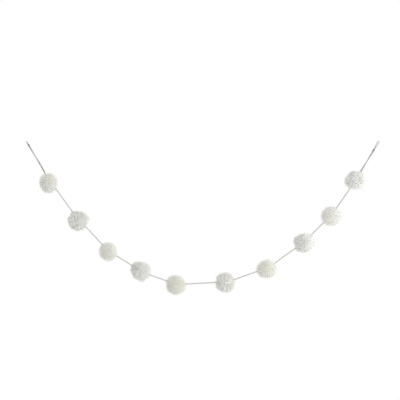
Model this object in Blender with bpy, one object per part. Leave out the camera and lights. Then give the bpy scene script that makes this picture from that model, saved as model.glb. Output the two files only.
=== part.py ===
"""Pompom garland: ten yarn pompoms on jute twine that hangs in a curve between two end loops.

Metres, +Z up. +X runs from the left loop to the right one and +Y points away from the viewer.
The origin is the middle of the left loop's eye, where a nail or hook would pass."""

import math
import random
from collections import namedtuple

import bmesh
import bpy
from mathutils import Quaternion, Vector, geometry

# Twine
TWINE_RADIUS = 0.0010
CLEARANCE = 0.0003
TAIL_CLEARANCE = 0.00035
PAIR_SPACING = 2 * TWINE_RADIUS + TAIL_CLEARANCE
TWINE_POINTS = 80
TAIL_POINTS = 24
SMOOTHING_STEPS = 60

# The twine's own route, from the left knot to the right one: between two pompoms it has one
# point at the middle of its run, and it has two inside each pompom.
TWINE_ROUTE = (
    (0.0093, -0.0017, -0.0138),
    (0.0435, -0.0085, -0.0730),
    (0.0780, -0.0155, -0.1305),
    (0.1055, -0.0165, -0.1690),
    (0.1455, -0.0170, -0.2245),
    (0.1860, -0.0175, -0.2785),
    (0.2180, -0.0170, -0.3135),
    (0.2575, -0.0160, -0.3565),
    (0.2970, -0.0150, -0.3980),
    (0.3335, -0.0150, -0.4275),
    (0.3755, -0.0160, -0.4540),
    (0.4180, -0.0170, -0.4795),
    (0.4600, -0.0175, -0.5025),
    (0.5050, -0.0175, -0.5190),
    (0.5500, -0.0170, -0.5340),
    (0.5950, -0.0170, -0.5415),
    (0.6665, -0.0180, -0.5390),
    (0.7380, -0.0185, -0.5345),
    (0.7840, -0.0185, -0.5275),
    (0.8395, -0.0175, -0.5090),
    (0.8945, -0.0165, -0.4890),
    (0.9375, -0.0160, -0.4700),
    (0.9885, -0.0165, -0.4340),
    (1.0400, -0.0175, -0.3965),
    (1.0765, -0.0175, -0.3665),
    (1.1115, -0.0175, -0.3325),
    (1.1465, -0.0170, -0.2965),
    (1.1785, -0.0170, -0.2615),
    (1.2120, -0.0170, -0.2140),
    (1.2455, -0.0170, -0.1650),
    (1.2725, -0.0165, -0.1250),
    (1.2990, -0.0105, -0.0800),
    (1.3262, -0.0045, -0.0336),
)

# The pompoms' backs all touch one upright plane. Spin is about the twine, in degrees.
BACK_Y = 0.022
Ball = namedtuple("Ball", "x z diameter yarn spin")
BALLS = (
    Ball(0.0835, -0.1553, 0.076, "fine", 10),
    Ball(0.1953, -0.3016, 0.079, "coarse", 31),
    Ball(0.3110, -0.4180, 0.073, "fine", 55),
    Ball(0.4378, -0.4931, 0.079, "coarse", 4),
    Ball(0.5711, -0.5467, 0.078, "fine", 22),
    Ball(0.7622, -0.5379, 0.082, "coarse", 47),
    Ball(0.9184, -0.4847, 0.076, "fine", 15),
    Ball(1.0621, -0.3863, 0.079, "coarse", 63),
    Ball(1.1659, -0.2821, 0.078, "fine", 38),
    Ball(1.2582, -0.1446, 0.078, "coarse", 19),
)

# How each yarn is cut: half the gap between its locks, how far a lock's corners stray from even
# ones, how much the locks differ in length, and where their shoulders lie, as a share of their
# length. Fine yarn is trimmed even and close, coarse yarn stands in open, uneven tufts.
Yarn = namedtuple("Yarn", "half_gap stray uneven shoulder")
YARNS = {
    "fine": Yarn(half_gap=0.0008, stray=0.025, uneven=0.010, shoulder=0.82),
    "coarse": Yarn(half_gap=0.0014, stray=0.060, uneven=0.040, shoulder=0.72),
}
# The core's radius is a share of the ball's, and a crown's ring a share of its lock's length and
# of its shoulder's width. Locks stand this far off the twine where it passes between them.
CORE_SHARE = 0.55
CROWN_SHARE = 0.955
CROWN_WIDTH = 0.66
TWINE_PARTING = 0.0042
# The twine's direction through a pompom is read this far from the core's middle.
DIRECTION_REACH = 0.030
# Edges flatter than this are shaded smooth.
LOCK_SHARP_DEGREES = 60
KNOT_SHARP_DEGREES = 50

# End loops: the drop from the eye's middle to the knot's, the knot's length, how far the eye is
# turned about its own length, in degrees, which side of the twine the tail leaves the knot on,
# and how many turns the tail makes around the twine.
EndLoop = namedtuple("EndLoop", "drop knot_length turn tail_side tail_turns")
END_LOOPS = {
    "left": EndLoop(0.0124, 0.0080, 72, 1, 0.75),
    "right": EndLoop(0.0354, 0.0105, 45, -1, 0.60),
}
EYE_RADIUS = 0.0046
LEG_SPREAD = 0.00125
LEG_STEPS = 6
ARC_STEPS = 10
KNOT_SIDES = 12
KNOT_SLANT = 0.22
# The knot's outline from its foot to its top: share of its length, and radius.
KNOT_OUTLINE = (
    (0.00, 0.0026),
    (0.15, 0.0031),
    (0.32, 0.0033),
    (0.50, 0.0028),
    (0.68, 0.0033),
    (0.85, 0.0031),
    (1.00, 0.0026),
)

# Finish: linear colour and roughness
COLOURS = {
    "fine": ((0.80, 0.78, 0.70), 0.95),
    "coarse": ((0.86, 0.85, 0.81), 0.95),
    "jute": ((0.34, 0.25, 0.15), 0.90),
}


def clear_scene():
    for item in list(bpy.data.objects):
        bpy.data.objects.remove(item, do_unlink=True)


def make_materials():
    made = {}
    for name, (colour, roughness) in COLOURS.items():
        material = bpy.data.materials.new(name)
        material.use_nodes = True
        shader = material.node_tree.nodes["Principled BSDF"]
        shader.inputs["Base Color"].default_value = (*colour, 1.0)
        shader.inputs["Roughness"].default_value = roughness
        shader.inputs["Metallic"].default_value = 0.0
        made[name] = material
    return made


def add_object(name, data, parent=None, material=None):
    item = bpy.data.objects.new(name, data)
    bpy.context.scene.collection.objects.link(item)
    item.parent = parent
    if material is not None:
        data.materials.append(material)
    return item


def hide_cutter(item):
    item.hide_render = True
    item.display_type = "WIRE"


def smooth_route(points, steps):
    """A smooth curve through the points, in which a straight run stays straight."""
    points = [Vector(point) for point in points]
    sides = [(b - a).normalized() for a, b in zip(points, points[1:])]
    tangents = [sides[0]]
    tangents += [(a + b).normalized() for a, b in zip(sides, sides[1:])]
    tangents.append(sides[-1])
    curve = []
    for start, end, leave, arrive in zip(points, points[1:], tangents, tangents[1:]):
        third = (end - start).length / 3
        stretch = geometry.interpolate_bezier(
            start, start + leave * third, end - arrive * third, end, steps
        )
        curve += stretch[:-1]
    curve.append(points[-1])
    return curve


def running_lengths(curve):
    lengths = [0.0]
    for a, b in zip(curve, curve[1:]):
        lengths.append(lengths[-1] + (b - a).length)
    return lengths


def resample(curve, count):
    """The same curve as an even run of points."""
    lengths = running_lengths(curve)
    points = []
    index = 0
    for step in range(count):
        wanted = lengths[-1] * step / (count - 1)
        while index < len(curve) - 2 and lengths[index + 1] < wanted:
            index += 1
        stretch = lengths[index + 1] - lengths[index]
        share = min(1.0, (wanted - lengths[index]) / stretch)
        points.append(curve[index].lerp(curve[index + 1], share))
    return points


def tube_curve(name, points, radius):
    """A round tube along the points, with filled ends."""
    data = bpy.data.curves.new(name, "CURVE")
    data.dimensions = "3D"
    data.bevel_depth = radius
    data.bevel_resolution = 2
    data.use_fill_caps = True
    spline = data.splines.new("POLY")
    spline.points.add(len(points) - 1)
    for place, point in zip(spline.points, points):
        place.co = (*point, 1.0)
    return data


def tube_mesh(name, points, radius):
    """The same tube as a mesh, for the Boolean cuts and joins."""
    item = add_object(name, tube_curve(name, points, radius))
    graph = bpy.context.evaluated_depsgraph_get()
    mesh = bpy.data.meshes.new_from_object(item.evaluated_get(graph))
    bpy.data.objects.remove(item, do_unlink=True)
    return mesh


def finish_mesh(name, shape, sharp_degrees):
    bmesh.ops.recalc_face_normals(shape, faces=shape.faces)
    mesh = bpy.data.meshes.new(name)
    shape.to_mesh(mesh)
    shape.free()
    mesh.shade_smooth()
    mesh.set_sharp_from_angle(angle=math.radians(sharp_degrees))
    return mesh


def join_rings(shape, lower, upper):
    """Quads between two rings of as many points."""
    count = len(lower)
    for k in range(count):
        after = (k + 1) % count
        shape.faces.new((lower[k], lower[after], upper[after], upper[k]))


class Pile:
    """The space that a pompom's locks fill: from the core, which is tied round the twine, to the
    trimmed ball, whose middle hangs a little lower than the core's."""

    def __init__(self, ball, centre, core):
        self.core = core
        self.radius = ball.diameter / 2
        self.offset = core - centre
        self.core_radius = CORE_SHARE * self.radius

    def surface(self, direction):
        """How far the trimmed ball's surface lies from the core's middle."""
        along = self.offset.dot(direction)
        beyond = self.offset.length_squared - self.radius**2
        return -along + math.sqrt(along**2 - beyond)

    def point(self, direction, share, length=1.0):
        """A point at that share of a lock's length, where length 1 ends on the ball."""
        tip = self.surface(direction) * length
        return self.core + direction * (self.core_radius + share * (tip - self.core_radius))


def inset_ring(points, on_twine, half_gap):
    """Draws a lock's four corners in from its neighbours, and from the twine that passes it."""
    centre = sum(points, Vector()) / len(points)
    sides = zip(points, points[1:] + points[:1])
    inner = min((geometry.intersect_point_line(centre, a, b)[0] - centre).length for a, b in sides)
    keep = 1 - half_gap / inner
    ring = []
    for point, parted in zip(points, on_twine):
        if parted:
            ring.append(point + (centre - point).normalized() * TWINE_PARTING)
        else:
            ring.append(centre + (point - centre) * keep)
    return ring


def add_lock(shape, pile, yarn, corners, on_twine, floor, length):
    """One lock: four sides from the core out to its shoulder, then a domed crown."""

    def ring_of(points):
        return [shape.verts.new(point) for point in points]

    root = inset_ring([pile.point(d, 0) for d in corners], on_twine, yarn.half_gap)
    shoulder = inset_ring(
        [pile.point(d, yarn.shoulder, length) for d in corners], on_twine, yarn.half_gap
    )
    middle = sum(shoulder, Vector()) / len(shoulder)
    crown = []
    for point in shoulder:
        direction = (middle.lerp(point, CROWN_WIDTH) - pile.core).normalized()
        crown.append(pile.point(direction, CROWN_SHARE, length))
    tip = shape.verts.new(pile.point((middle - pile.core).normalized(), 1.0, length))

    rings = [floor, ring_of(root), ring_of(shoulder), ring_of(crown)]
    for lower, upper in zip(rings, rings[1:]):
        join_rings(shape, lower, upper)
    for k in range(len(crown)):
        shape.faces.new((rings[-1][k], rings[-1][(k + 1) % len(crown)], tip))


def pompom_mesh(name, ball, pile, into, out, seed):
    """Thirty locks on a round core, one over each edge of an icosahedron whose two poles lie
    where the twine goes in and out. A lock's corners point at its edge's ends and at the middles
    of the two faces beside it."""
    yarn = YARNS[ball.yarn]
    draw = random.Random(seed)
    axis = (out - into).normalized()
    half = (out - into).length / 2
    lean = (out + into) / 2 / half
    turn = axis.to_track_quat("Z", "Y") @ Quaternion((0, 0, 1), math.radians(ball.spin))

    def place(direction, stray):
        strayed = Vector(draw.uniform(-stray, stray) for _ in range(3)) + direction.normalized()
        turned = turn @ strayed.normalized()
        return (turned + lean * turned.dot(axis) ** 2).normalized()

    plan = bmesh.new()
    bmesh.ops.create_icosphere(plan, subdivisions=1, radius=1.0)
    poles = {vert for vert in plan.verts if abs(vert.co.z) > 0.99}
    directions = {}
    for vert in plan.verts:
        directions[vert] = place(vert.co, 0.0 if vert in poles else yarn.stray)
    for face in plan.faces:
        directions[face] = place(face.calc_center_median(), yarn.stray)

    shape = bmesh.new()
    floor = {spot: shape.verts.new(pile.point(d, 0)) for spot, d in directions.items()}
    for edge in plan.edges:
        first, second = edge.verts
        face, other = edge.link_faces
        spots = (first, face, second, other)
        add_lock(
            shape,
            pile,
            yarn,
            [directions[spot] for spot in spots],
            [spot in poles for spot in spots],
            [floor[spot] for spot in spots],
            1 + draw.uniform(-yarn.uneven, yarn.uneven),
        )
    plan.free()
    return finish_mesh(name, shape, LOCK_SHARP_DEGREES)


def make_pompom(number, ball, twine, bore, garland, materials):
    centre = Vector((ball.x, BACK_Y - ball.diameter / 2, ball.z))
    lengths = running_lengths(twine)
    nearest = min(range(len(twine)), key=lambda k: (twine[k] - centre).length)
    core = twine[nearest]
    before = max(k for k in range(nearest) if lengths[nearest] - lengths[k] > DIRECTION_REACH)
    after = min(
        k for k in range(nearest, len(twine)) if lengths[k] - lengths[nearest] > DIRECTION_REACH
    )
    into = (twine[before] - core).normalized()
    out = (twine[after] - core).normalized()

    name = f"pompom_{number:02d}"
    pile = Pile(ball, Vector(), core - centre)
    mesh = pompom_mesh(name, ball, pile, into, out, number)
    pompom = add_object(name, mesh, garland, materials[ball.yarn])
    pompom.location = centre
    cut = pompom.modifiers.new("twine bore", "BOOLEAN")
    cut.operation = "DIFFERENCE"
    cut.solver = "EXACT"
    cut.object = bore
    return core, pile.core_radius


def tail_route(twine, side, turns, core, core_radius):
    """The twine's spare end: it leaves the knot beside the twine, winds round it and goes into
    the first pompom, between the locks and down to the core."""
    stop = core_radius + CLEARANCE + TWINE_RADIUS
    reach = next(k for k, point in enumerate(twine) if (point - core).length < stop)
    beside = resample(twine[: reach + 1], TAIL_POINTS)
    route = []
    for k, point in enumerate(beside):
        ahead = beside[min(k + 1, TAIL_POINTS - 1)] - beside[max(k - 1, 0)]
        tangent = ahead.normalized()
        level = (side - tangent * side.dot(tangent)).normalized()
        wind = Quaternion(tangent, math.tau * turns * k / (TAIL_POINTS - 1))
        route.append(point + wind @ level * PAIR_SPACING)
    return route


def eye_route(eye, up, across, drop, knot_length):
    """A teardrop: out of the knot, up one leg, round the eye and down the other leg."""
    leg_length = drop - knot_length / 2
    leg = [(LEG_SPREAD, -drop)]
    for k in range(LEG_STEPS):
        rise = k / LEG_STEPS
        spread = LEG_SPREAD + (EYE_RADIUS - LEG_SPREAD) * math.sin(rise * math.pi / 2)
        leg.append((spread, -leg_length * (1 - rise)))
    arc = []
    for k in range(ARC_STEPS + 1):
        angle = math.pi * k / ARC_STEPS
        arc.append((EYE_RADIUS * math.cos(angle), EYE_RADIUS * math.sin(angle)))
    outline = leg + arc + [(-v, u) for v, u in reversed(leg)]
    return [eye + across * v + up * u for v, u in outline]


def knot_mesh(name, middle, up, across, length):
    """A pulled-tight knot: two slanting wraps between two flat ends."""
    forward = up.cross(across)
    shape = bmesh.new()
    rings = []
    for share, radius in KNOT_OUTLINE:
        slant = KNOT_SLANT if 0 < share < 1 else 0.0
        ring = []
        for k in range(KNOT_SIDES):
            angle = math.tau * k / KNOT_SIDES
            out = across * math.cos(angle) + forward * math.sin(angle)
            rise = (share - 0.5) * length + slant * radius * math.cos(angle)
            ring.append(shape.verts.new(middle + up * rise + out * radius))
        rings.append(ring)
    for lower, upper in zip(rings, rings[1:]):
        join_rings(shape, lower, upper)
    shape.faces.new(rings[0])
    shape.faces.new(rings[-1])
    return finish_mesh(name, shape, KNOT_SHARP_DEGREES)


def make_end(side_name, loop, twine, garland, materials, core, core_radius):
    """A hanging loop with its knot as one solid, and the tail that leaves the knot."""
    start = twine[0]
    up = (start - twine[1]).normalized()
    side = up.cross(Vector((0, 1, 0))).normalized() * loop.tail_side
    across = Quaternion(up, math.radians(loop.turn)) @ side
    foot = start + side * PAIR_SPACING / 2 + up * CLEARANCE
    knot_middle = foot + up * loop.knot_length / 2
    eye = knot_middle + up * loop.drop

    name = f"{side_name}_loop"
    route = eye_route(eye, up, across, loop.drop, loop.knot_length)
    strand = add_object(f"{side_name}_eye_strand", tube_mesh(name, route, TWINE_RADIUS))
    hide_cutter(strand)
    knot = knot_mesh(name, knot_middle, up, across, loop.knot_length)
    solid = add_object(name, knot, garland, materials["jute"])
    join = solid.modifiers.new("eye", "BOOLEAN")
    join.operation = "UNION"
    join.solver = "EXACT"
    join.object = strand

    tail = tail_route(twine, side, loop.tail_turns, core, core_radius)
    tail_name = f"{side_name}_tail"
    add_object(tail_name, tube_curve(tail_name, tail, TWINE_RADIUS), garland, materials["jute"])


def build():
    clear_scene()
    materials = make_materials()
    garland = add_object("garland", None)

    smooth_twine = smooth_route(TWINE_ROUTE, SMOOTHING_STEPS)
    even_twine = resample(smooth_twine, TWINE_POINTS)
    add_object("twine", tube_curve("twine", even_twine, TWINE_RADIUS), garland, materials["jute"])
    bore = add_object("twine_bore", tube_mesh("bore", even_twine, TWINE_RADIUS + CLEARANCE))
    hide_cutter(bore)

    cores = []
    for number, ball in enumerate(BALLS, 1):
        cores.append(make_pompom(number, ball, smooth_twine, bore, garland, materials))

    make_end("left", END_LOOPS["left"], smooth_twine, garland, materials, *cores[0])
    make_end("right", END_LOOPS["right"], smooth_twine[::-1], garland, materials, *cores[-1])


build()
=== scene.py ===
"""Pompom garland, dressed: ten yarn pompoms on jute twine between two knotted hanging loops.

Metres, +Z up, in the row frame: the origin is the middle of the left loop's eye, +X runs to the
right loop and +Y points away from the viewer."""

import math
from collections import namedtuple

import bpy
import numpy as np
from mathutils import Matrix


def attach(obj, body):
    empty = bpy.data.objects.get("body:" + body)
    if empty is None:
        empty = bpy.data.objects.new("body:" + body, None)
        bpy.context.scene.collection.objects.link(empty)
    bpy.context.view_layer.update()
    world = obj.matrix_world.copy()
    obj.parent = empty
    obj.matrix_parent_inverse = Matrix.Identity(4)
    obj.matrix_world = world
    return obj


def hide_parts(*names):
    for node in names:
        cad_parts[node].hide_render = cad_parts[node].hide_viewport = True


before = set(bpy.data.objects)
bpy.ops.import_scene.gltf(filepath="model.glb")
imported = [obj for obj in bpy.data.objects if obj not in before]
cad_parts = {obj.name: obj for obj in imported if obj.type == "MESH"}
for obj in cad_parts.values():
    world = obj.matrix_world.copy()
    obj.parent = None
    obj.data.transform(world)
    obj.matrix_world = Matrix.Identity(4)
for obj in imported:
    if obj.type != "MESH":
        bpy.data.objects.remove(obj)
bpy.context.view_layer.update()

# Camera: straight on, from afar. The picture is this wide at the twine.
VIEW_MIDDLE = (0.6637, -0.0165, -0.2204)
VIEW_WIDTH = 1.532
CAMERA_DISTANCE = 6.0
SENSOR_MM = 36.0

# Light. The world is brighter behind the garland, as a lit backdrop is, than on the camera's side.
# The camera itself sees it white.
FRONT_LIGHT = 0.61
BACK_LIGHT = 0.86
WORLD_SEEN = 1.01
KEY_PLACE = (3.4, -2.0, -0.25)
KEY_AIM = (0.70, 0.0, -0.35)
KEY_SIZE = 2.8
KEY_WATTS = 48.0
# White yarn passes light on many times before it goes dark.
DIFFUSE_BOUNCES = 14
# The photo is a little soft: how wide the camera's pixel filter is, in pixels.
PIXEL_SPREAD = 2.05
FLOOR_Z = -1.25
FLOOR_HALF = (2.2, 1.6)
FLOOR_TONES = ((0.0, (0.86, 0.86, 0.85)), (1.0, (0.90, 0.90, 0.89)))
FLOOR_CLOUD_SCALE = 1.5

# Directions: away from the viewer, and one that hardly any fibre runs along.
AWAY = (0.0, 1.0, 0.0)
ODD_WAY = (0.31, 0.52, 0.79)
# The least length that anything is divided by.
TINY = 1e-6

# Twine, as in the solids. The clearances are between what touches on the real garland.
TWINE_RADIUS = 0.0010
TAIL_CLEARANCE = 0.00035
PAIR_SPACING = 2 * TWINE_RADIUS + TAIL_CLEARANCE
CLEARANCE = 0.0003
SMOOTHING_STEPS = 60
TAIL_POINTS = 120
TWINE_ROUTE = (
    (0.0093, -0.0017, -0.0138),
    (0.0435, -0.0085, -0.0730),
    (0.0780, -0.0155, -0.1305),
    (0.1055, -0.0165, -0.1690),
    (0.1455, -0.0170, -0.2245),
    (0.1860, -0.0175, -0.2785),
    (0.2180, -0.0170, -0.3135),
    (0.2575, -0.0160, -0.3565),
    (0.2970, -0.0150, -0.3980),
    (0.3335, -0.0150, -0.4275),
    (0.3755, -0.0160, -0.4540),
    (0.4180, -0.0170, -0.4795),
    (0.4600, -0.0175, -0.5025),
    (0.5050, -0.0175, -0.5190),
    (0.5500, -0.0170, -0.5340),
    (0.5950, -0.0170, -0.5415),
    (0.6665, -0.0180, -0.5390),
    (0.7380, -0.0185, -0.5345),
    (0.7840, -0.0185, -0.5275),
    (0.8395, -0.0175, -0.5090),
    (0.8945, -0.0165, -0.4890),
    (0.9375, -0.0160, -0.4700),
    (0.9885, -0.0165, -0.4340),
    (1.0400, -0.0175, -0.3965),
    (1.0765, -0.0175, -0.3665),
    (1.1115, -0.0175, -0.3325),
    (1.1465, -0.0170, -0.2965),
    (1.1785, -0.0170, -0.2615),
    (1.2120, -0.0170, -0.2140),
    (1.2455, -0.0170, -0.1650),
    (1.2725, -0.0165, -0.1250),
    (1.2990, -0.0105, -0.0800),
    (1.3262, -0.0045, -0.0336),
)
# The jute is spun from this many plies. One of them goes once round in a pitch. Its outline is how
# far out its crown, its side, the groove and the next one's side lie, in shares of the radius.
PLIES = 3
PLY_PITCH = 0.0085
PLY_OUTLINE = (1.0, 0.86, 0.60, 0.86)
PLY_GROOVE = min(PLY_OUTLINE)
RING_STEP = 0.00070
# The twine and the knots' wraps look a little thicker in the photo than their solids are.
JUTE_RADIUS = 0.00136
# The jute swells and thins from one place to the next, this far apart, by about this share. The
# places run on a little past its end.
SLUB_STEP = 0.004
SLUB_SWELL = 0.05
SLUB_SPARE = 0.01
# Its hairs start at this share of the radius and stand out by this share of their length. Their
# rise is how far up the jute's colours they are, from the painted shade of the grooves to the
# crowns.
HAIRS_PER_METRE = 1500
HAIR_ROOT = 0.6
HAIR_LIFT = 0.55
HAIR_LENGTHS = (0.0012, 0.0032)
HAIR_WIDTH = 0.00015
HAIR_RISE = 0.8
KNOT_OVERLAP = 0.0030
# Each strand of jute draws its swells and hairs from its own seed. An end's four count on from here.
JUTE_SEEDS = {"left": 11, "right": 21, "twine": 31}

# Pompoms, as in the solids. Their backs touch one upright plane, and their cores are this share of
# their size.
BACK_Y = 0.022
CORE_SHARE = 0.55
# Each one's outline is from the photo: how much longer it is than wide, and the angle of its long
# axis, in degrees up from +X. The last column is how far its fibre is from the whitest, 0, to the
# creamiest, 1. The shades of its strands are spread over CREAM_STRAY around that.
CREAM_STRAY = 0.4
Ball = namedtuple("Ball", "x z diameter yarn stretch angle cream")
BALLS = (
    Ball(0.0835, -0.1553, 0.076, "fine", 1.09, 94, 0.30),
    Ball(0.1953, -0.3016, 0.079, "coarse", 1.05, 49, 0.40),
    Ball(0.3110, -0.4180, 0.073, "fine", 1.04, 126, 0.45),
    Ball(0.4378, -0.4931, 0.079, "coarse", 1.03, 122, 0.25),
    Ball(0.5711, -0.5467, 0.078, "fine", 1.05, 145, 1.00),
    Ball(0.7622, -0.5379, 0.082, "coarse", 1.06, 135, 0.40),
    Ball(0.9184, -0.4847, 0.076, "fine", 1.05, 10, 0.60),
    Ball(1.0621, -0.3863, 0.079, "coarse", 1.07, 14, 0.00),
    Ball(1.1659, -0.2821, 0.078, "fine", 1.06, 170, 0.20),
    Ball(1.2582, -0.1446, 0.078, "coarse", 1.07, 171, 0.00),
)

# Yarns. Each strand points away from the core and is cut at the ball's surface: how many there are
# and how wide one is. Strands gather in this many tufts: they lean to the tuft's middle by this
# share of the way. They bend over by the swirl, a share of their length, which turns slowly over
# the ball. Their lengths stray by the uneven share. The ball's own surface rises and falls by a
# share of its radius at this many lumps. Below the thicket, a share of the way out from the core,
# the strands stand too close to see between.
Yarn = namedtuple("Yarn", "ends width tufts lean swirl uneven lumps lump_height thicket")
YARNS = {
    "fine": Yarn(
        ends=1900, width=0.00310, tufts=130, lean=0.08, swirl=0.25, uneven=0.010, lumps=24,
        lump_height=0.030, thicket=0.90,
    ),
    "coarse": Yarn(
        ends=2000, width=0.00280, tufts=300, lean=0.60, swirl=0.70, uneven=0.032, lumps=50,
        lump_height=0.074, thicket=0.825,
    ),
}
# A pompom's seed is this and its number.
POMPOM_SEED = 100
# Only a strand's outer stretch is built, from this share of the way out from the core.
ROOT_SHARE = 0.70
STRAND_SIDES = 4
# A strand's rows from its root to its cut end: share of its length, and of its width.
STRAND_ROWS = {
    "fine": ((0.0, 0.85), (0.82, 1.0), (1.0, 0.35)),
    "coarse": ((0.0, 0.9), (0.55, 1.0), (0.85, 0.9), (1.0, 0.35)),
}
# How far strands, tufts and spots stray from even places, in shares of the pitch between them.
STRAND_JITTER = 0.22
TUFT_JITTER = 0.30
SPOT_JITTER = 0.30
# A spot's value fades the faster the more spots there are, by this much for each of them.
SPOT_FOCUS = 0.4
# A strand's length strays by itself and with its tuft, each by LENGTH_STRAY of the uneven share.
# All are trimmed by LENGTH_TRIM of it. None is shorter or longer by more of it than the limits.
LENGTH_STRAY = 0.6
LENGTH_TRIM = 0.5
LENGTH_LIMITS = (3, 0.6)
# The swirl's direction is set at this many spots, and strays from there by these shares with each
# tuft and each strand. A tuft bends by its own share of the swirl, within a range, and the bend
# grows along the strand by this power.
SWIRLS = 22
TUFT_STRAY = 0.45
STRAND_STRAY = 0.15
BEND_SHARES = (0.5, 1.3)
BEND_POWER = 2.2
# Strands' widths stray by this share, within these limits.
THICKNESS_STRAY = 0.09
THICKNESS_LIMITS = (0.75, 1.25)
# Their middles stay this far from the surface of the twine's solid, in shares of their width. They
# are measured against no more than about twice this many of its points.
PARTING = 0.45
PARTING_POINTS = 90
# Fibres that stray from a strand's last stretch, which ends this far inside the ball's surface.
# They leave it from this share of its length on: how many for each strand, how wide, and the
# shortest and the longest. The rest of the table is for the long ones, which curl.
Fray = namedtuple("Fray", "inset start wisps width reach long_wisps long_reach")
FRAYS = {
    "fine": Fray(
        inset=0.0048, start=0.86, wisps=3.4, width=0.00055, reach=(0.0025, 0.0090),
        long_wisps=1.80, long_reach=(0.006, 0.015),
    ),
    "coarse": Fray(
        inset=0.0038, start=0.70, wisps=2.0, width=0.00055, reach=(0.0025, 0.0085),
        long_wisps=1.05, long_reach=(0.006, 0.015),
    ),
}
FIBRE_SIDES = 3
WISP_SPREAD = (0.2, 1.1)
WISP_CURL = 0.25
# A fibre starts up to this share of the strand's width off its middle, less where the strand
# narrows to its end, and a little way back inside it.
WISP_ASIDE = 0.40
WISP_NARROWING = 1.25
WISP_SUNK = 0.0006
# No fibre's tip stands out of the plain ball by more than this, unless that would leave less than
# the least share of the fibre.
WISP_LIMIT = 0.0056
WISP_LEAST = 0.1
# The thicket is a closed surface. Its first and last ring lie this angle from its poles, in
# radians, and its points stray in and out by this share. Its rise is how far up the yarn's
# colours it is: low, so it takes the painted shade of the strands' roots deep in the pile.
THICKET_RINGS = 24
THICKET_SIDES = 40
THICKET_POLE = 0.06
THICKET_STRAY = 0.012
THICKET_RISE = 0.3

# Grain: how fast it runs along jute and yarn and over the thicket, and how far apart strands of
# different lots lie in it.
JUTE_GRAIN = 90
YARN_GRAIN = 120
THICKET_GRAIN = 20
LOT_GRAIN = 40
# The lot of the jute itself. Its hairs have one each.
MIDDLE_LOT = 0.5
# The grain's noise between these values makes the streaks, which darken the fibre by up to the
# streak and lighten it by this share of that.
STREAK_RANGE = (0.3, 0.7)
STREAK_LIGHTER = 0.4
BUMP_HEIGHT = 0.0004

# Tints of the whitest and the creamiest yarn, and of the darkest and the lightest jute hair.
YARN_TINTS = ((1.0, 1.0, 1.0), (0.976, 0.975, 0.957))
JUTE_TINTS = ((0.70, 0.70, 0.70), (1.0, 1.0, 1.0))
# The fibre is a little warmer in some places than in others.
PATCH_SCALE = 38.0
PATCH_RANGE = (0.38, 0.62)
PATCH_TINTS = ((1.0, 1.0, 1.0), (0.998, 0.995, 0.980))

# End loops, as in the solids: from the knot's middle to the eye's, the knot's length, the eye's
# turn about the twine in degrees, the tail's side of the twine and its turns round it, and how
# often the knot is wound.
EndLoop = namedtuple("EndLoop", "drop knot_length turn tail_side tail_turns wraps")
END_LOOPS = {
    "left": EndLoop(
        drop=0.0124, knot_length=0.0080, turn=72, tail_side=1, tail_turns=0.75, wraps=3
    ),
    "right": EndLoop(
        drop=0.0354, knot_length=0.0105, turn=45, tail_side=-1, tail_turns=0.60, wraps=4
    ),
}
EYE_RADIUS = 0.0046
LEG_SPREAD = 0.00125
LEG_STEPS = 6
ARC_STEPS = 10
LOOP_SMOOTHING = 12
WRAP_RADIUS = 0.0021
WRAP_STEPS = 24
# The twine's last turn crosses the wraps. Its places are shares up the knot and degrees round it.
# It lies this far from the knot's middle and is a little thinner than the wraps.
BAND_PLACES = ((0.12, 20), (0.35, 45), (0.62, 75), (0.90, 100))
BAND_REACH = 0.0030
BAND_THICKNESS = 0.9


def unit(v):
    return v / np.linalg.norm(v, axis=-1, keepdims=True)


def turned(v, axis, degrees):
    """v turned about an axis at right angles to it."""
    angle = math.radians(degrees)
    return v * math.cos(angle) + np.cross(axis, v) * math.sin(angle)


def smooth_route(points, steps):
    """A smooth curve through the points, in which a straight run stays straight."""
    points = np.array(points, float)
    sides = unit(np.diff(points, axis=0))
    tangents = np.vstack([sides[:1], unit(sides[:-1] + sides[1:]), sides[-1:]])
    share = (np.arange(steps - 1) / (steps - 1))[:, None]
    curve = []
    for start, end, leave, arrive in zip(points, points[1:], tangents, tangents[1:]):
        third = np.linalg.norm(end - start) / 3
        near = start + leave * third
        far = end - arrive * third
        curve.append(
            start * (1 - share) ** 3
            + near * 3 * share * (1 - share) ** 2
            + far * 3 * share**2 * (1 - share)
            + end * share**3
        )
    return np.vstack(curve + [points[-1:]])


def running_lengths(curve):
    """How far along the curve each of its points is."""
    return np.concatenate([[0.0], np.cumsum(np.linalg.norm(np.diff(curve, axis=0), axis=1))])


def resample(curve, count):
    """The same curve as an even run of points."""
    lengths = running_lengths(curve)
    wanted = np.linspace(0.0, lengths[-1], count)
    return np.stack([np.interp(wanted, lengths, curve[:, k]) for k in range(3)], axis=1)


def even_steps(curve, step):
    """The same curve as points about this far apart."""
    return resample(curve, max(3, round(running_lengths(curve)[-1] / step) + 1))


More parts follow.
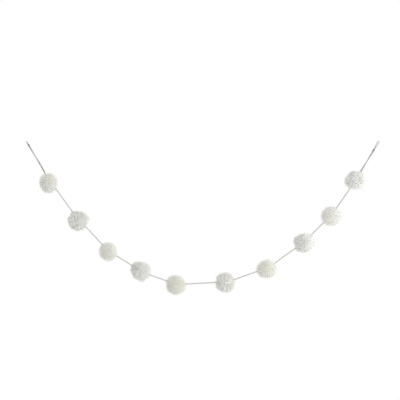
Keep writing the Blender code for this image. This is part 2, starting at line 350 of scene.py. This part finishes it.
class Shape:
    """Gathers strands and fibres into one mesh. Each point has three attributes for the
    materials: rise, from 0 at a root to 1 at a cut end, by which the materials paint shade darker
    toward the roots; lot, a strand's own number from 0 to 1; and grain, a place on the strand in
    which fibres run along the third axis."""

    def __init__(self):
        self.points = []
        self.faces = []
        self.smooth = []
        self.rise = []
        self.lot = []
        self.grain = []
        self.size = 0

    def add(self, points, faces, smooth, rise, lot, grain):
        """faces is a list of arrays, one with a row for each face of a kind."""
        self.points.append(points.reshape(-1, 3))
        for kind in faces:
            self.faces += (kind + self.size).tolist()
            self.smooth += [smooth] * len(kind)
        self.rise.append(np.broadcast_to(rise, points.shape[:-1]).ravel())
        self.lot.append(np.broadcast_to(lot, points.shape[:-1]).ravel())
        self.grain.append(np.broadcast_to(grain, points.shape).reshape(-1, 3))
        self.size += points.size // 3

    def add_strands(self, rings, rise, lot, grain):
        """rings is strands by rows by sides by 3. Both ends are closed."""
        strands, rows, sides = rings.shape[:3]
        index = np.arange(strands * rows * sides).reshape(strands, rows, sides)
        after = np.roll(index, -1, axis=2)
        walls = np.stack([index[:, :-1], after[:, :-1], after[:, 1:], index[:, 1:]], axis=-1)
        first = np.arange(sides // 2 - 1)
        ladder = np.stack([first, first + 1, sides - 2 - first, sides - 1 - first], axis=-1)
        lids = [index[:, -1][:, ladder], index[:, 0][:, ladder[:, ::-1]]]
        faces = [part.reshape(-1, 4) for part in [walls] + lids]
        self.add(rings, faces, True, rise, lot, grain)

    def add_fibres(self, stations, width, rise, lot):
        """Thin spikes. stations is fibres by places from root to tip by 3."""
        along = unit(np.diff(stations, axis=1))[:, :, None]
        across = unit(np.cross(along, ODD_WAY))
        forward = np.cross(along, across)
        angle = math.tau * np.arange(FIBRE_SIDES)[:, None] / FIBRE_SIDES
        taper = np.linspace(1, 0, stations.shape[1])[:-1, None, None]
        spoke = (across * np.cos(angle) + forward * np.sin(angle)) * taper
        rings = stations[:, :-1, None] + spoke * width / 2
        points = np.concatenate([rings.reshape(len(stations), -1, 3), stations[:, -1:]], axis=1)
        index = np.arange(points.size // 3).reshape(len(stations), -1)
        tip = index[:, -1:, None] + np.zeros((1, 1, FIBRE_SIDES), int)
        rows = index[:, :-1].reshape(len(stations), -1, FIBRE_SIDES)
        after = np.roll(rows, -1, axis=2)
        walls = np.stack([rows[:, :-1], after[:, :-1], after[:, 1:], rows[:, 1:]], axis=-1)
        tips = np.stack([rows[:, -1:], after[:, -1:], tip], axis=-1)
        faces = [walls.reshape(-1, 4), tips.reshape(-1, 3)]
        self.add(points, faces, False, rise, lot[:, None], np.zeros(3))

    def make(self, name, material, *nodes):
        """The finished piece, which stands for the named CAD nodes."""
        mesh = bpy.data.meshes.new(name)
        mesh.from_pydata(np.vstack(self.points), [], self.faces)
        for kind, values in (("rise", self.rise), ("lot", self.lot)):
            layer = mesh.attributes.new(kind, "FLOAT", "POINT")
            layer.data.foreach_set("value", np.concatenate(values).astype(np.float32))
        layer = mesh.attributes.new("grain", "FLOAT_VECTOR", "POINT")
        layer.data.foreach_set("vector", np.vstack(self.grain).astype(np.float32).ravel())
        mesh.materials.append(material)
        mesh.polygons.foreach_set("use_smooth", self.smooth)
        piece = bpy.data.objects.new(name, mesh)
        bpy.context.scene.collection.objects.link(piece)
        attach(piece, "root")
        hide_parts(*nodes)
        return piece


def add_jute(shape, curve, radius, reference, seed, hairs=True):
    """A strand of twisted plies along the curve. The reference is a direction that is never
    parallel to the curve."""
    draw = np.random.default_rng(seed)
    line = even_steps(curve, RING_STEP)
    lengths = running_lengths(line)
    tangent = unit(np.gradient(line, axis=0))
    across = unit(np.cross(tangent, reference))
    forward = np.cross(tangent, across)

    outline = np.tile(PLY_OUTLINE, PLIES)
    sides = len(outline)
    slubs = np.arange(0, lengths[-1] + SLUB_SPARE, SLUB_STEP)
    swell = 1 + SLUB_SWELL * np.interp(lengths, slubs, draw.normal(size=len(slubs)))
    angle = math.tau * (np.arange(sides) / sides + (lengths / PLY_PITCH)[:, None])
    spoke = across[:, None] * np.cos(angle)[..., None] + forward[:, None] * np.sin(angle)[..., None]
    reach = radius * outline * swell[:, None]
    rings = line[:, None] + spoke * reach[..., None]
    along = np.broadcast_to(lengths[:, None] * JUTE_GRAIN, angle.shape)
    grain = np.stack([np.cos(angle), np.sin(angle), along], axis=-1)
    # rise is 0 in the grooves between the plies and 1 on their crowns: the jute's colour is painted
    # darker by it in the grooves, as painted shade.
    rise = np.broadcast_to((outline - PLY_GROOVE) / (1 - PLY_GROOVE), angle.shape)
    shape.add_strands(rings[None], rise[None], MIDDLE_LOT, grain[None])

    if hairs:
        count = int(lengths[-1] * HAIRS_PER_METRE)
        at = draw.integers(0, len(line), count)
        way = draw.uniform(0, math.tau, count)
        out = across[at] * np.cos(way)[:, None] + forward[at] * np.sin(way)[:, None]
        sweep = tangent[at] * draw.uniform(-1, 1, count)[:, None]
        roots = line[at] + out * radius * HAIR_ROOT
        tips = roots + (out * HAIR_LIFT + sweep) * draw.uniform(*HAIR_LENGTHS, count)[:, None]
        hair = np.stack([roots, tips], axis=1)
        shape.add_fibres(hair, HAIR_WIDTH, HAIR_RISE, draw.uniform(0, 1, count))
    return line


def core_of(ball, twine):
    """The core sits on the twine, at the twine's nearest point to the ball's middle."""
    centre = np.array((ball.x, BACK_Y - ball.diameter / 2, ball.z))
    return centre, twine[np.linalg.norm(twine - centre, axis=1).argmin()]


def tail_route(twine, side, turns, ball):
    """The twine's spare end: it leaves the knot beside the twine, winds round it and goes into
    the first pompom, between the locks and down to the core."""
    core = core_of(ball, twine)[1]
    stop = CORE_SHARE * ball.diameter / 2 + CLEARANCE + TWINE_RADIUS
    reach = np.argmax(np.linalg.norm(twine - core, axis=1) < stop)
    beside = resample(twine[: reach + 1], TAIL_POINTS)
    tangent = unit(np.gradient(beside, axis=0))
    level = unit(side - tangent * (tangent @ side)[:, None])
    wind = (math.tau * turns * np.linspace(0, 1, len(beside)))[:, None]
    spoke = level * np.cos(wind) + np.cross(tangent, level) * np.sin(wind)
    return beside + spoke * PAIR_SPACING


def eye_route(eye, up, across, loop):
    """A teardrop: out of the knot, up one leg, round the eye and down the other leg."""
    leg_length = loop.drop - loop.knot_length / 2
    leg = [(LEG_SPREAD, -loop.drop)]
    for k in range(LEG_STEPS):
        rise = k / LEG_STEPS
        spread = LEG_SPREAD + (EYE_RADIUS - LEG_SPREAD) * math.sin(rise * math.pi / 2)
        leg.append((spread, -leg_length * (1 - rise)))
    arc = []
    for k in range(ARC_STEPS + 1):
        angle = math.pi * k / ARC_STEPS
        arc.append((EYE_RADIUS * math.cos(angle), EYE_RADIUS * math.sin(angle)))
    outline = np.array(leg + arc + [(-v, u) for v, u in reversed(leg)])
    return eye + outline[:, :1] * across + outline[:, 1:] * up


def wrap_route(foot, up, across, loop):
    """The knot's wraps: the twine's end wound up round its two strands."""
    forward = np.cross(up, across)
    share = np.linspace(0, 1, WRAP_STEPS * loop.wraps)[:, None]
    angle = math.tau * loop.wraps * share
    spoke = across * np.cos(angle) + forward * np.sin(angle)
    rise = TWINE_RADIUS + share * (loop.knot_length - 2 * TWINE_RADIUS)
    return foot + up * rise + spoke * WRAP_RADIUS


def make_end(side_name, twine, ball, material):
    """A hanging loop with its knot, and the tail that leaves the knot."""
    loop = END_LOOPS[side_name]
    seed = JUTE_SEEDS[side_name]
    start = twine[0]
    up = unit(start - twine[1])
    side = unit(np.cross(up, AWAY)) * loop.tail_side
    across = turned(side, up, loop.turn)
    foot = start + side * PAIR_SPACING / 2 + up * CLEARANCE
    eye = foot + up * (loop.knot_length / 2 + loop.drop)

    shape = Shape()
    forward = np.cross(up, across)
    outline = smooth_route(eye_route(eye, up, across, loop), LOOP_SMOOTHING)
    add_jute(shape, outline, TWINE_RADIUS, forward, seed, hairs=False)
    add_jute(shape, wrap_route(foot, up, across, loop), JUTE_RADIUS, up, seed + 1)
    band = [
        foot + up * share * loop.knot_length + turned(across, up, turn) * BAND_REACH
        for share, turn in BAND_PLACES
    ]
    crossing = smooth_route(band, LOOP_SMOOTHING)
    add_jute(shape, crossing, JUTE_RADIUS * BAND_THICKNESS, forward, seed + 2)
    knotted = shape.make(f"{side_name}_loop_strands", material, f"{side_name}_loop")

    route = tail_route(twine, side, loop.tail_turns, ball)
    shape = Shape()
    into_knot = np.vstack([route[0] + up * KNOT_OVERLAP, route])
    path = add_jute(shape, into_knot, TWINE_RADIUS, AWAY, seed + 3)
    tail = shape.make(f"{side_name}_tail_strand", material, f"{side_name}_tail")
    return knotted, route


def spread_directions(count, jitter, draw):
    """Even directions all round, each strayed by that share of the pitch between them."""
    k = np.arange(count) + 0.5
    height = 1 - 2 * k / count
    around = k * math.pi * (1 + math.sqrt(5))
    level = np.sqrt(1 - height**2)
    even = np.stack([level * np.cos(around), level * np.sin(around), height], axis=1)
    pitch = math.sqrt(4 * math.pi / count)
    return unit(even + draw.normal(size=even.shape) * pitch * jitter)


def part_from(points, lines, gap):
    """Moves points that are nearer to the lines than the gap straight out to it."""
    for line in lines:
        near = np.linalg.norm(points - points.mean(axis=0), axis=1).max() + gap
        local = line[np.linalg.norm(line - points.mean(axis=0), axis=1) < near]
        if len(local) == 0:
            continue
        offset = points[:, None] - local[None, :: max(1, len(local) // PARTING_POINTS)]
        distance = np.linalg.norm(offset, axis=2)
        closest = distance.argmin(axis=1)
        row = np.arange(len(points))
        apart = distance[row, closest]
        inside = apart < gap
        away = offset[row, closest][inside] / np.maximum(apart[inside], TINY)[:, None]
        points[inside] += away * (gap - apart[inside])[:, None]
    return points


class Spots:
    """Values set at spots of a ball, which fade from each one to the next."""

    def __init__(self, values, draw):
        self.places = spread_directions(len(values), SPOT_JITTER, draw)
        self.values = values

    def at(self, ways):
        focus = SPOT_FOCUS * len(self.values)
        return np.exp(focus * (ways @ self.places.T - 1)) @ self.values


class Form:
    """A pompom's trimmed surface: a ball drawn out to its outline in the photo, with slow lumps.
    Its strands point away from the core."""

    def __init__(self, ball, yarn, twine, draw):
        self.radius = ball.diameter / 2
        self.centre, self.core = core_of(ball, twine)
        angle = math.radians(ball.angle)
        long_axis = np.array((math.cos(angle), 0, math.sin(angle)))
        wide_axis = np.array((-math.sin(angle), 0, math.cos(angle)))
        grow = math.sqrt(ball.stretch)
        self.stretch = (
            np.eye(3)
            + (grow - 1) * np.outer(long_axis, long_axis)
            + (1 / grow - 1) * np.outer(wide_axis, wide_axis)
        )
        self.lumps = Spots(draw.normal(size=yarn.lumps) * yarn.lump_height, draw)

    def surface(self, ways, inset):
        """The points that lie this far inside the surface, in these directions."""
        reach = self.radius * (1 + self.lumps.at(ways)) - inset
        return self.centre + (ways * reach[..., None]) @ self.stretch.T

    def held_in(self, roots, runs):
        """The fibres' runs, cut short where their tips would pass the limit."""
        back = np.linalg.inv(self.stretch).T
        low = np.linalg.norm((roots - self.centre) @ back, axis=1)
        high = np.linalg.norm((roots + runs - self.centre) @ back, axis=1)
        limit = self.radius + WISP_LIMIT
        share = (limit - low) / np.maximum(high - low, TINY)
        return runs * np.where(high > limit, share.clip(WISP_LEAST, 1.0), 1.0)[:, None]


def add_thicket(shape, form, yarn, inset, lot, draw):
    """The closed inner pile."""
    height = np.linspace(THICKET_POLE, math.pi - THICKET_POLE, THICKET_RINGS)[:, None]
    spin = math.tau * np.arange(THICKET_SIDES) / THICKET_SIDES
    east = np.sin(height) * np.cos(spin)
    north = np.sin(height) * np.sin(spin)
    ways = np.stack(np.broadcast_arrays(east, north, np.cos(height)), axis=-1)
    depth = yarn.thicket * draw.normal(1.0, THICKET_STRAY, ways.shape[:2])[..., None]
    inner = form.core + (form.surface(ways, inset) - form.core) * depth
    shape.add_strands(inner[None], THICKET_RISE, lot, ways[None] * THICKET_GRAIN)


def strand_courses(form, yarn, inset, shares, draw):
    """Each strand's course from inside the thicket to its cut end."""
    ways = spread_directions(yarn.ends, STRAND_JITTER, draw)
    tufts = spread_directions(yarn.tufts, TUFT_JITTER, draw)
    tuft = (ways @ tufts.T).argmax(axis=1)
    leant = unit(ways + (tufts[tuft] - ways) * yarn.lean)
    stray = draw.normal(size=yarn.ends) * LENGTH_STRAY
    stray = stray + draw.normal(size=yarn.tufts)[tuft] * LENGTH_STRAY
    shorter, longer = LENGTH_LIMITS
    length = 1 + yarn.uneven * (stray - LENGTH_TRIM)
    length = length.clip(1 - shorter * yarn.uneven, 1 + longer * yarn.uneven)
    roots = form.core + ROOT_SHARE * (form.surface(ways, 0.0) - form.core)
    tips = form.core + length[:, None] * (form.surface(leant, inset) - form.core)
    own = TUFT_STRAY * draw.normal(size=tufts.shape)[tuft]
    own = own + STRAND_STRAY * draw.normal(size=ways.shape)
    swirl = Spots(draw.normal(size=(SWIRLS, 3)), draw).at(ways) + own
    bow = unit(np.cross(leant, swirl)) * draw.uniform(*BEND_SHARES, (yarn.tufts, 1))[tuft]
    bow *= yarn.swirl * np.linalg.norm(tips - roots, axis=1, keepdims=True)
    straight = roots[:, None] + (tips - roots)[:, None] * shares[:, None]
    return straight + bow[:, None] * (shares**BEND_POWER)[:, None]


def add_yarn(shape, courses, yarn, shares, widths, lot, draw):
    """A strand on each course."""
    tangent = unit(np.gradient(courses, axis=1))
    start = np.cross(tangent[:, :1], draw.normal(size=(yarn.ends, 1, 3)))
    across = unit(start - tangent * (start * tangent).sum(axis=-1, keepdims=True))
    forward = np.cross(tangent, across)
    steps = np.linalg.norm(np.diff(courses, axis=1), axis=-1)
    along = np.concatenate([np.zeros((yarn.ends, 1)), np.cumsum(steps, axis=1)], axis=1)[..., None]
    angle = math.tau * np.arange(STRAND_SIDES) / STRAND_SIDES
    thick = draw.normal(1.0, THICKNESS_STRAY, (yarn.ends, 1, 1)).clip(*THICKNESS_LIMITS)
    reach = yarn.width / 2 * widths[:, None] * thick
    spoke = across[:, :, None] * np.cos(angle)[:, None]
    spoke = spoke + forward[:, :, None] * np.sin(angle)[:, None]
    rings = courses[:, :, None] + spoke * reach[..., None]
    turns = np.broadcast_to(angle, rings.shape[:-1])
    height = np.broadcast_to(along * YARN_GRAIN, turns.shape)
    lot = lot[:, None, None]
    grain = np.stack([np.cos(turns) + LOT_GRAIN * lot, np.sin(turns), height], axis=-1)
    # Each strand's rise runs from 0 at its root to 1 at its cut end: the yarn's colour is painted
    # darker toward the roots by it, as painted shade deep in the pile.
    shape.add_strands(rings, shares[:, None], lot, grain)


def add_wisps(shape, form, courses, shares, width, fray, count, reach, curled, lot, draw):
    """Fibres that stray from the strands' last stretch. Short ones are the most common."""
    picked = draw.integers(0, len(courses), count)
    at = draw.uniform(fray.start, 1.0, count)
    row = np.searchsorted(shares, at).clip(1, len(shares) - 1)
    before = courses[picked, row - 1]
    after = courses[picked, row]
    part = (at - shares[row - 1]) / (shares[row] - shares[row - 1])
    way = unit(after - before)
    aside = draw.normal(size=way.shape)
    aside = unit(aside - way * (aside * way).sum(axis=1, keepdims=True))
    off = width * draw.uniform(0.0, WISP_ASIDE, (count, 1)) * (WISP_NARROWING - at[:, None])
    roots = before + (after - before) * part[:, None] + aside * off - way * WISP_SUNK
    spread = draw.uniform(*WISP_SPREAD, (count, 1))
    length = reach[0] + (reach[1] - reach[0]) * draw.uniform(0, 1, (count, 1)) ** 2
    run = form.held_in(roots, unit(way + aside * spread) * length)
    stations = [roots, roots + run]
    if curled:
        bend = np.cross(run, draw.normal(size=run.shape)) * WISP_CURL
        stations.insert(1, roots + run / 2 + bend / 2)
    shape.add_fibres(np.stack(stations, axis=1), fray.width, 1.0, lot[picked])


def make_pompom(number, ball, lines, material):
    """Cut yarn ends that stand all round a core on the twine, trimmed to a ball. The lines are the
    twine and its two tails."""
    yarn = YARNS[ball.yarn]
    fray = FRAYS[ball.yarn]
    draw = np.random.default_rng(POMPOM_SEED + number)
    form = Form(ball, yarn, lines[0], draw)
    shares, widths = np.array(STRAND_ROWS[ball.yarn]).T
    shape = Shape()
    add_thicket(shape, form, yarn, fray.inset, ball.cream, draw)
    courses = strand_courses(form, yarn, fray.inset, shares, draw)
    parted = part_from(courses.reshape(-1, 3), lines, TWINE_RADIUS + yarn.width * PARTING)
    courses = parted.reshape(courses.shape)
    lot = (ball.cream + CREAM_STRAY * draw.uniform(-0.5, 0.5, yarn.ends)).clip(0, 1)
    add_yarn(shape, courses, yarn, shares, widths, lot, draw)
    for count, reach, curled in (
        (int(yarn.ends * fray.wisps), fray.reach, False),
        (int(yarn.ends * fray.long_wisps), fray.long_reach, True),
    ):
        add_wisps(
            shape, form, courses, shares, yarn.width, fray, count, reach, curled, lot, draw
        )
    piece = shape.make(f"pompom_{number:02d}_yarn", material, f"pompom_{number:02d}")


def add_node(tree, kind, inputs=None, **settings):
    """A new node. Its inputs are linked to sockets or set to values."""
    node = tree.nodes.new(kind)
    for name, value in settings.items():
        setattr(node, name, value)
    for name, value in (inputs or {}).items():
        if isinstance(value, bpy.types.NodeSocket):
            tree.links.new(value, node.inputs[name])
        else:
            node.inputs[name].default_value = value
    return node


def add_ramp(tree, factor, stops):
    """A colour ramp through the stops, each a place and a colour."""
    ramp = add_node(tree, "ShaderNodeValToRGB", {"Fac": factor})
    elements = ramp.color_ramp.elements
    elements[0].position = stops[0][0]
    elements[1].position = stops[-1][0]
    for place, _ in stops[1:-1]:
        elements.new(place)
    for element, (_, colour) in zip(elements, stops):
        element.color = (*colour, 1.0)
    return ramp.outputs["Color"]


def fibre_material(name, ramp, tints, grain_scale, streak, bump, roughness, sheen):
    """Spun fibre: the colour climbs the ramp from a strand's root or groove to its end or crown,
    which is painted shade: darker deep in the pile and in the grooves between plies, lighter at the
    cut ends and crowns. Each strand has its own tint between the two, and fine streaks along it."""
    material = bpy.data.materials.new(name)
    material.use_nodes = True
    tree = material.node_tree
    shader = tree.nodes["Principled BSDF"]
    rise = add_node(tree, "ShaderNodeAttribute", attribute_name="rise")
    lot = add_node(tree, "ShaderNodeAttribute", attribute_name="lot")
    grain = add_node(tree, "ShaderNodeAttribute", attribute_name="grain")
    fibres = add_node(
        tree,
        "ShaderNodeTexNoise",
        {"Vector": grain.outputs["Vector"], "Scale": grain_scale, "Detail": 3.0},
    )
    streaks = add_node(
        tree,
        "ShaderNodeMapRange",
        {"Value": fibres.outputs["Fac"], "From Min": STREAK_RANGE[0], "From Max": STREAK_RANGE[1],
         "To Min": 1 - streak, "To Max": 1 + streak * STREAK_LIGHTER},
    )
    place = add_node(tree, "ShaderNodeTexCoord")
    clouds = add_node(
        tree,
        "ShaderNodeTexNoise",
        {"Vector": place.outputs["Object"], "Scale": PATCH_SCALE, "Detail": 1.0},
    )
    # Painted shade: the rise ramp darkens the roots and the grooves. The lot and patch tints are the
    # fibre's own colour.
    painted_shade_and_tint = add_ramp(tree, rise.outputs["Fac"], ramp)
    for factor, places, colours in (
        (lot.outputs["Fac"], (0.0, 1.0), tints),
        (clouds.outputs["Fac"], PATCH_RANGE, PATCH_TINTS),
    ):
        tint = add_ramp(tree, factor, tuple(zip(places, colours)))
        painted_shade_and_tint = add_node(
            tree, "ShaderNodeVectorMath", {0: painted_shade_and_tint, 1: tint}, operation="MULTIPLY"
        ).outputs["Vector"]
    painted_shade_and_tint = add_node(
        tree,
        "ShaderNodeVectorMath",
        {0: painted_shade_and_tint, "Scale": streaks.outputs["Result"]},
        operation="SCALE",
    )
    relief = add_node(
        tree,
        "ShaderNodeBump",
        {"Height": fibres.outputs["Fac"], "Strength": bump, "Distance": BUMP_HEIGHT},
    )
    tree.links.new(painted_shade_and_tint.outputs["Vector"], shader.inputs["Base Color"])
    tree.links.new(relief.outputs["Normal"], shader.inputs["Normal"])
    shader.inputs["Roughness"].default_value = roughness
    shader.inputs["Specular IOR Level"].default_value = 0.2
    shader.inputs["Sheen Weight"].default_value = sheen
    shader.inputs["Sheen Roughness"].default_value = 0.5
    return material


def make_materials():
    return {
        "fine": fibre_material(
            "fine_yarn",
            # The yarn's white, painted darker toward the roots as painted shade deep in the pile.
            ramp=(
                (0.0, (0.965, 0.963, 0.935)),
                (0.80, (0.982, 0.980, 0.965)),
                (1.0, (0.99, 0.989, 0.970)),
            ),
            tints=YARN_TINTS, grain_scale=3.0, streak=0.008, bump=0.35, roughness=0.95,
            sheen=0.15,
        ),
        "coarse": fibre_material(
            "coarse_yarn",
            # The yarn's white, painted darker toward the roots as painted shade deep in the pile.
            ramp=(
                (0.0, (0.960, 0.960, 0.946)),
                (0.60, (0.980, 0.980, 0.966)),
                (0.88, (0.992, 0.992, 0.980)),
                (1.0, (0.995, 0.995, 0.983)),
            ),
            tints=YARN_TINTS, grain_scale=3.0, streak=0.012, bump=0.5, roughness=0.95,
            sheen=0.15,
        ),
        "jute": fibre_material(
            "jute_twine",
            # The jute's tan, painted darker in the grooves between the plies as painted shade.
            ramp=((0.0, (0.086, 0.056, 0.021)), (1.0, (0.262, 0.180, 0.072))),
            tints=JUTE_TINTS, grain_scale=4.0, streak=0.35, bump=0.6, roughness=0.85,
            sheen=0.05,
        ),
    }


def aim(item, target):
    """Turns a camera or a lamp to face the target."""
    way = np.array(target) - np.array(item.location)
    item.rotation_euler = (
        math.atan2(math.hypot(way[0], way[1]), -way[2]),
        0.0,
        math.atan2(-way[0], way[1]),
    )


def make_camera():
    camera = bpy.data.objects.new("camera", bpy.data.cameras.new("camera"))
    bpy.context.scene.collection.objects.link(camera)
    camera.location = (VIEW_MIDDLE[0], VIEW_MIDDLE[1] - CAMERA_DISTANCE, VIEW_MIDDLE[2])
    aim(camera, VIEW_MIDDLE)
    camera.data.sensor_width = SENSOR_MM
    camera.data.lens = SENSOR_MM * CAMERA_DISTANCE / VIEW_WIDTH
    camera.data.clip_end = 50
    bpy.context.scene.camera = camera


def make_light():
    """A studio: a world that is brighter behind the garland and white to the camera, and one large
    soft lamp on the right."""
    scene = bpy.context.scene
    scene.view_settings.view_transform = "Standard"
    scene.cycles.max_bounces = DIFFUSE_BOUNCES + 2
    scene.cycles.diffuse_bounces = DIFFUSE_BOUNCES
    scene.cycles.filter_width = PIXEL_SPREAD
    world = bpy.data.worlds.new("studio")
    scene.world = world
    world.use_nodes = True
    tree = world.node_tree
    way = add_node(tree, "ShaderNodeTexCoord").outputs["Generated"]
    depth = add_node(tree, "ShaderNodeSeparateXYZ", {"Vector": way}).outputs["Y"]
    around = add_node(
        tree,
        "ShaderNodeMapRange",
        {"Value": depth, "From Min": -1.0, "To Min": FRONT_LIGHT, "To Max": BACK_LIGHT},
    )
    rays = add_node(tree, "ShaderNodeLightPath")
    strength = add_node(
        tree,
        "ShaderNodeMapRange",
        {"Value": rays.outputs["Is Camera Ray"], "To Min": around.outputs["Result"],
         "To Max": WORLD_SEEN},
    )
    sky = tree.nodes["Background"]
    sky.inputs["Color"].default_value = (1.0, 1.0, 1.0, 1.0)
    tree.links.new(strength.outputs["Result"], sky.inputs["Strength"])

    lamp = bpy.data.lights.new("key", "AREA")
    lamp.size = KEY_SIZE
    lamp.energy = KEY_WATTS
    key = bpy.data.objects.new("key", lamp)
    scene.collection.objects.link(key)
    key.location = KEY_PLACE
    aim(key, KEY_AIM)


def make_floor():
    wide, deep = FLOOR_HALF
    corners = [(-wide, -deep), (wide, -deep), (wide, deep), (-wide, deep)]
    mesh = bpy.data.meshes.new("floor")
    mesh.from_pydata([(VIEW_MIDDLE[0] + x, y, FLOOR_Z) for x, y in corners], [], [(0, 1, 2, 3)])
    material = bpy.data.materials.new("pale_floor")
    material.use_nodes = True
    tree = material.node_tree
    place = add_node(tree, "ShaderNodeTexCoord")
    cloud = add_node(
        tree,
        "ShaderNodeTexNoise",
        {"Vector": place.outputs["Object"], "Scale": FLOOR_CLOUD_SCALE},
    )
    tone = add_ramp(tree, cloud.outputs["Fac"], FLOOR_TONES)
    shader = tree.nodes["Principled BSDF"]
    tree.links.new(tone, shader.inputs["Base Color"])
    shader.inputs["Roughness"].default_value = 0.9
    mesh.materials.append(material)
    floor = bpy.data.objects.new("floor", mesh)
    bpy.context.scene.collection.objects.link(floor)


make_camera()
materials = make_materials()

twine = smooth_route(TWINE_ROUTE, SMOOTHING_STEPS)
left_end, left_tail = make_end("left", twine, BALLS[0], materials["jute"])
right_end, right_tail = make_end("right", twine[::-1], BALLS[-1], materials["jute"])
twine_shape = Shape()
ends = unit(np.array((twine[0] - twine[1], twine[-1] - twine[-2]))) * KNOT_OVERLAP
into_knots = np.vstack([twine[0] + ends[0], twine, twine[-1] + ends[1]])
twine_path = add_jute(twine_shape, into_knots, JUTE_RADIUS, AWAY, JUTE_SEEDS["twine"])
twine_piece = twine_shape.make("twine_strand", materials["jute"], "twine")

for number, ball in enumerate(BALLS, 1):
    make_pompom(number, ball, (twine, left_tail, right_tail), materials[ball.yarn])

make_light()
make_floor()
